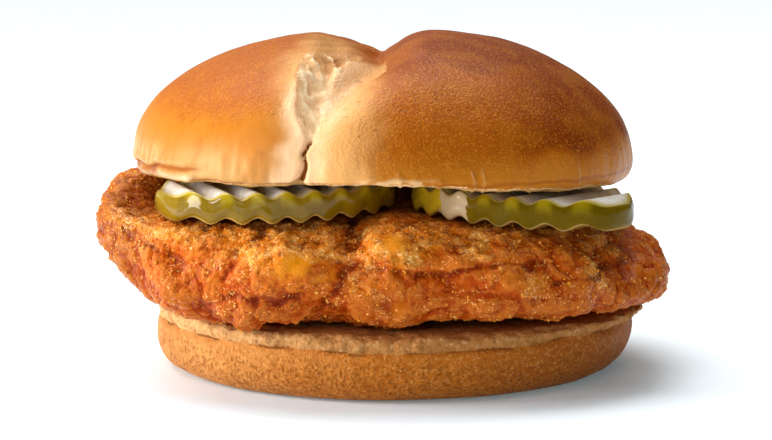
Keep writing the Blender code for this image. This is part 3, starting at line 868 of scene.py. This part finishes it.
def amberMask(points, facing):
    # the smooth pools on the front, and others at random round the back
    x, y, z = points.T
    amber = ramp01(0.45, 0.75, cloudNoise(points, 8.0, 96.0)) * (1.0 - facing)
    wander = 1.6 * cloudNoise(points, 3.0, 97.0)
    for poolX, poolZ, radius in amberPools:
        away = np.hypot(x - poolX, 1.3 * (z - poolZ)) + wander
        amber = np.maximum(amber, fall01(0.1 * radius, 1.6 * radius, away) * facing)
    return amber


def goldenMask(points, creased, facing):
    # dry golden batter: in patches, more of it higher up, and hardly any at the left end
    x, y, z = points.T
    patches = rumple(creased, ((1.0, 9.0, 94.0), (0.5, 4.0, 95.0))) + 0.10 * (z - 27.0)
    patches -= 1.1 * fall01(-54.0, -40.0, x) + 0.3 * ramp01(6.0, 20.0, x)
    for patchX, patchZ, radius in goldenPatches:
        away = np.hypot(x - patchX, 1.3 * (z - patchZ))
        patches += 0.9 * fall01(0.3 * radius, 1.4 * radius, away) * facing
    return ramp01(-0.4, 0.8, patches)


def creaseFillet(piece):
    # deepens the long creases of the front, smooths the pools and stores the masks of the batter's colours
    points, normals = meshPoints(piece.data)
    x, y, z = points.T
    facing = ramp01(20.0, 36.0, -y)
    furrow, depth = creaseMasks(points, facing)
    amber = amberMask(points, facing)
    eased = points + (relaxed(piece.data, 6) - points) * amber[:, None]
    putPoints(piece.data, eased - normals * depth[:, None])
    creased, normals = meshPoints(piece.data)
    hollow = np.sum((relaxed(piece.data, 60) - creased) * normals, axis=1)
    golden = goldenMask(points, creased, facing)
    outer = ramp01(36.0, 44.0, np.hypot(x, y))
    low = fall01(19.0, 28.0, z + 3.0 * cloudNoise(creased, 6.0, 99.0))
    storeMasks(piece.data, furrow=furrow, amber=amber, hollow=hollow / np.std(hollow), golden=golden,
               end=fall01(-54.0, -42.0, x), low=low, sown=(0.25 + 0.75 * golden) * (1.0 - amber) * outer)


def dressFillet():
    base = fineCopy("chicken_fillet", "filletBase", batterShape["grain"], batterShape["smoothing"])
    easeRidge(base)
    tree, sizes = batterTree()
    piece = runTree(base, tree, sizes, "chickenFillet")
    creaseFillet(piece)
    settleFillet(piece)
    piece.data.materials.append(friedBatter())
    piece.data.shade_smooth()
    finishPiece(piece, "chicken_fillet")
    sow(piece, "batterGrains", scatteredGrains, crispGrains())
    sow(piece, "pepperSpecks", scatteredPepper, crackedPepper())


dressFillet()


# pickle slices

# the disc that each slice is shaped from, one unit in radius and height
sliceDisc = {"Vertices": 260, "Side Segments": 10, "Fill Segments": 26, "Radius": 1.0, "Depth": 1.0}

# x of the right slice's end with painted light, of its painted reflection and of where it turns duller with
# painted shade, each as it fades
sliceMarks = {
    "sunlit": (11.0, 12.0), "reflectionFrom": (11.2, 11.6), "reflectionTo": (16.2, 16.6), "dullShaded": (16.0, 19.0)}


def pickleTree(sizes):
    # a disc with a rounded rim, waved across both faces by the crinkle blade and laid on its own slope
    tree, given = newTree("crinkleCutSlice", sizes)
    calc = calculator(tree)
    disc = addNode(tree, "GeometryNodeMeshCylinder", sliceDisc, fill_type="TRIANGLE_FAN")
    place = addNode(tree, "GeometryNodeInputPosition").outputs[0]
    apart = addNode(tree, "ShaderNodeSeparateXYZ", {0: place}).outputs
    squares = [calc("MULTIPLY", apart[axis], apart[axis]) for axis in (0, 1)]
    reach = calc("SQRT", calc("ADD", *squares))
    edge = calc("MULTIPLY", calc("ABSOLUTE", apart[2]), 2.0)
    rimFrom = 0.995
    onRim = calc("GREATER_THAN", reach, rimFrom)
    swell = calc("MULTIPLY", given["Bulge"], calc("SUBTRACT", 1.0, calc("MULTIPLY", edge, edge)))
    shave = calc("MULTIPLY", given["Rounding"], calc("POWER", edge, 8.0))
    around = addNode(tree, "ShaderNodeTexNoise", {"Vector": place, "Scale": 1.3, "Detail": 2.0}).outputs[0]
    uneven = calc("MULTIPLY", calc("SUBTRACT", around, 0.5), given["Unevenness"])
    radius = calc("ADD", calc("ADD", given["Radius"], calc("MULTIPLY", uneven, reach)),
                  calc("MULTIPLY", onRim, calc("SUBTRACT", swell, shave)))
    across, along = calc("MULTIPLY", apart[0], radius), calc("MULTIPLY", apart[1], radius)
    phase = calc("DIVIDE", calc("MULTIPLY", 2.0 * math.pi, calc("SUBTRACT", across, given["Crest at"])),
                 given["Pitch"])
    wave = calc("MULTIPLY", given["Ridge"], calc("SUBTRACT", calc("COSINE", phase), 1.0))
    turn = calc("RADIANS", given["Turn"])
    cosine, sine = calc("COSINE", turn), calc("SINE", turn)
    dx = calc("SUBTRACT", calc("MULTIPLY", across, cosine), calc("MULTIPLY", along, sine))
    dy = calc("ADD", calc("MULTIPLY", across, sine), calc("MULTIPLY", along, cosine))
    lean = calc("ADD", calc("MULTIPLY", dx, given["Slope X"]), calc("MULTIPLY", dy, given["Slope Y"]))
    sheet = calc("ADD", calc("ADD", given["Crest height"], lean), wave)
    height = calc("ADD", sheet, calc("MULTIPLY", given["Thickness"], calc("SUBTRACT", apart[2], 0.5)))
    spot = addNode(tree, "ShaderNodeCombineXYZ", {
        0: calc("MULTIPLY", mm, calc("ADD", calc("ADD", given["Centre X"], dx), crownAxis["x"])),
        1: calc("MULTIPLY", mm, calc("ADD", calc("ADD", given["Centre Y"], dy), crownAxis["y"])),
        2: calc("MULTIPLY", mm, height)}).outputs[0]
    shape = disc.outputs["Mesh"]
    for name, value in (("level", apart[2]), ("reach", reach), ("wave", wave)):
        shape = addNode(tree, "GeometryNodeStoreNamedAttribute", {
            "Geometry": shape, "Name": name, "Value": value}, data_type="FLOAT", domain="POINT").outputs[0]
    moved = addNode(tree, "GeometryNodeSetPosition", {"Geometry": shape, "Position": spot}).outputs[0]
    real = addNode(tree, "GeometryNodeRealizeInstances", {"Geometry": moved})
    flesh = addNode(tree, "GeometryNodeSetMaterial", {
        "Geometry": real.outputs[0], "Material": given["Flesh"]})
    skin = addNode(tree, "GeometryNodeSetMaterial", {
        "Geometry": flesh.outputs[0], "Selection": disc.outputs["Side"], "Material": given["Skin"]})
    addNode(tree, "NodeGroupOutput", {"Geometry": skin.outputs[0]})
    return tree


def pickleSkin():
    # brined cucumber skin: wet and glossy, olive with yellow ridges partly painted as highlight, blotched
    # where it is translucent; painted light, a painted reflection and painted shade on the right slice
    made, tree, shader, place = startMaterial("brinedCucumberSkin", {
        "Roughness": 0.16, "IOR": 1.38, "Specular IOR Level": 0.02,
        "Coat Roughness": 0.03, "Subsurface Weight": 0.1, "Subsurface Radius": (1.0, 0.8, 0.3),
        "Subsurface Scale": 0.002})
    ridge = times(tree, storedMask(tree, "wave", -0.9, 0.1), storedMask(tree, "level", -0.2, 0.5), 0.8)
    colour = layered(tree, "#886A08", [
        (times(tree, mottle(tree, place, 9.0, 0.42, 0.62, stretch=(1, 1, 0.5)), 0.8), "#745806"),
        (times(tree, mottle(tree, place, 7.0, 0.52, 0.68, stretch=(1, 1, 0.7)), 0.5), "#8E7C3A"),
        # darker where the right slice is duller: painted shade
        (times(tree, without(tree, storedMask(tree, "wet")), 0.8), "#665004"),
        (times(tree, mottle(tree, place, 1.1, 0.60, 0.74), 0.6), "#46360A"),
        # yellow along the crests of the upper rim, partly painted highlight
        (ridge, "#B89C10"),
        # painted light on the right slice's left end
        (times(tree, storedMask(tree, "sunlit"), 0.9), "#F8D428"),
        # painted reflection of the side softbox
        (storedMask(tree, "bloom", 0.3, 0.7), "#E4CC9E"),
        (times(tree, storedMask(tree, "level", -0.40, -0.49), 0.8), "#C8A460"),
        (times(tree, storedMask(tree, "level", 0.44, 0.5), 0.7), "#D8C060")])
    tree.links.new(times(tree, storedMask(tree, "wet"), 0.5), shader.inputs["Coat Weight"])
    coatWith(tree, shader, colour, [
        (mottle(tree, place, 1.2, 0.3, 0.7), 0.03),
        (mottle(tree, place, 4.0, 0.3, 0.7), 0.05)])
    return made


def pickleFlesh():
    # brined cucumber flesh: wet, pale and translucent, greener next to the skin, with painted shade on its
    # lower face
    made, tree, shader, place = startMaterial("brinedCucumberFlesh", {
        "Roughness": 0.22, "IOR": 1.36, "Subsurface Weight": 0.5,
        "Subsurface Radius": (1.0, 0.9, 0.5), "Subsurface Scale": 0.003})
    colour = layered(tree, "#FFFDF4", [
        (times(tree, mottle(tree, place, 3.0, 0.45, 0.7), 0.6), "#F2EACA"),
        (storedMask(tree, "reach", 0.9, 0.995), "#B8A640"),
        # painted shade on the lower face
        (storedMask(tree, "level", 0.0, -0.4), "#9A6A26")])
    coatWith(tree, shader, colour, [(mottle(tree, place, 0.9, 0.3, 0.7), 0.10)])
    return made


def dressPickles():
    skin, flesh = pickleSkin(), pickleFlesh()
    for side in ("left", "right"):
        sizes = {**pickleShapes[side], **pickleShapes["both"], "Skin": skin, "Flesh": flesh}
        seed = linkObject("sliceSeed", bpy.data.meshes.new("sliceSeed"))
        piece = runTree(seed, pickleTree(sizes), sizes, "pickle" + side.title())
        piece.data.shade_smooth()
        # the right slice has painted light at its left end, then a painted reflection with ragged sides,
        # and painted shade with less gloss further on
        points = meshPoints(piece.data)[0]
        x = points[:, 0] + 0.5 * cloudNoise(points, 0.8, 41.0) + 0.4 * cloudNoise(points, 2.0, 42.0)
        onRight = 1.0 if side == "right" else 0.0
        bloom = ramp01(*sliceMarks["reflectionFrom"], x) * fall01(*sliceMarks["reflectionTo"], x)
        storeMasks(piece.data, sunlit=onRight * fall01(*sliceMarks["sunlit"], x), bloom=onRight * bloom,
                   wet=1.0 - 0.8 * onRight * ramp01(*sliceMarks["dullShaded"], x))
        finishPiece(piece, "pickle_" + side)


dressPickles()


# floor, lights and camera

studio = {
    "air": {"brightest": 0.32, "darkest": 0.04, "towards": (-0.90, 0.20, 0.30), "fade": (-0.45, 0.85)},
    "overhead": {"from": (-0.22, 0.36, 0.90), "strength": 2.6, "spread": 52.0},
    "side": {"at": (-0.79, -0.12, 0.20), "size": (0.38, 0.44), "watts": 7.8},
    "top": {"at": (0.28, 0.34, 0.80), "size": (0.55, 0.40), "watts": 1.6},
    "front": {"at": (-0.22, -0.85, 0.30), "size": (0.50, 0.35), "watts": 1.1},
    "spark": {"at": (-0.30, -0.50, 0.55), "size": (0.18, 0.18), "watts": 0.6},
    "lampAim": (0.0, 0.0, 0.035),
    "floorHalf": 6.0, "floorNear": -3.0, "floorFar": 9.0,
    "floorGlow": 0.14,  # a cool glow, so that the soft shadow stays grey beside the warm food
    "distance": 0.560, "height": 0.109, "pitch": 8.03,
    "pixelsPerUnit": 2660.0, "middlePixel": 383.0, "imageWidth": 772,  # of the photograph's frame
}


def buildFloor():
    floor = bpy.data.meshes.new("whiteTable")
    half, near, far = studio["floorHalf"], studio["floorNear"], studio["floorFar"]
    corners = [(-half, near, 0), (half, near, 0), (half, far, 0), (-half, far, 0)]
    floor.from_pydata(corners, [], [(0, 1, 2, 3)])
    table = linkObject("whiteTable", floor)
    made, tree, shader, place = startMaterial("whiteSweep", {
        "Roughness": 0.9, "Specular IOR Level": 0.0, "Emission Color": (0.62, 0.92, 1.0, 1.0),
        "Emission Strength": studio["floorGlow"]})
    colour = layered(tree, "#F2F9FE", [(mottle(tree, place, 60.0, 0.3, 0.7), "#F0F7FC")])
    coatWith(tree, shader, colour, ())
    floor.materials.append(made)


def buildAir():
    # bright behind, above and to the left, dark towards the right and the camera
    world = bpy.data.worlds.new("studioAir")
    world.use_nodes = True
    tree = world.node_tree
    air = studio["air"]
    direction = addNode(tree, "ShaderNodeTexCoord").outputs["Generated"]
    along = addNode(tree, "ShaderNodeVectorMath", {
        0: direction, 1: Vector(air["towards"]).normalized()}, operation="DOT_PRODUCT").outputs["Value"]
    low, high = air["fade"]
    strength = addNode(tree, "ShaderNodeMapRange", {
        "Value": along, "From Min": low, "From Max": high, "To Min": air["darkest"],
        "To Max": air["brightest"]}, interpolation_type="SMOOTHSTEP").outputs[0]
    tree.links.new(strength, tree.nodes["Background"].inputs["Strength"])
    tree.nodes["Background"].inputs["Color"].default_value = (1.0, 1.0, 1.0, 1.0)
    bpy.context.scene.world = world


def addLamp(name, kind, place, **settings):
    lamp = bpy.data.lights.new(name, kind)
    for key, value in settings.items():
        setattr(lamp, key, value)
    holder = bpy.data.objects.new(name, lamp)
    holder.location = place
    aim = Vector(studio["lampAim"]) - holder.location
    holder.rotation_euler = aim.to_track_quat("-Z", "Y").to_euler()
    bpy.context.scene.collection.objects.link(holder)


def buildLights():
    overhead = studio["overhead"]
    addLamp("overheadLight", "SUN", overhead["from"], energy=overhead["strength"],
            angle=math.radians(overhead["spread"]))
    for name in ("side", "top", "front", "spark"):
        lamp = studio[name]
        addLamp(name + "Softbox", "AREA", lamp["at"], energy=lamp["watts"], shape="RECTANGLE",
                size=lamp["size"][0], size_y=lamp["size"][1])


def buildCamera():
    lens = bpy.data.cameras.new("camera")
    lens.sensor_width = 36.0
    lens.lens = studio["pixelsPerUnit"] * lens.sensor_width / studio["imageWidth"]
    lens.shift_x = (studio["imageWidth"] / 2 - studio["middlePixel"]) / studio["imageWidth"]
    lens.clip_start = 0.01
    camera = bpy.data.objects.new("camera", lens)
    camera.location = (crownAxis["x"] * mm, crownAxis["y"] * mm - studio["distance"], studio["height"])
    camera.rotation_euler = (math.radians(90.0 - studio["pitch"]), 0.0, 0.0)
    bpy.context.scene.collection.objects.link(camera)
    bpy.context.scene.camera = camera
    bpy.context.scene.view_settings.view_transform = "Standard"


buildFloor()
buildAir()
buildLights()
buildCamera()
print("studio built")
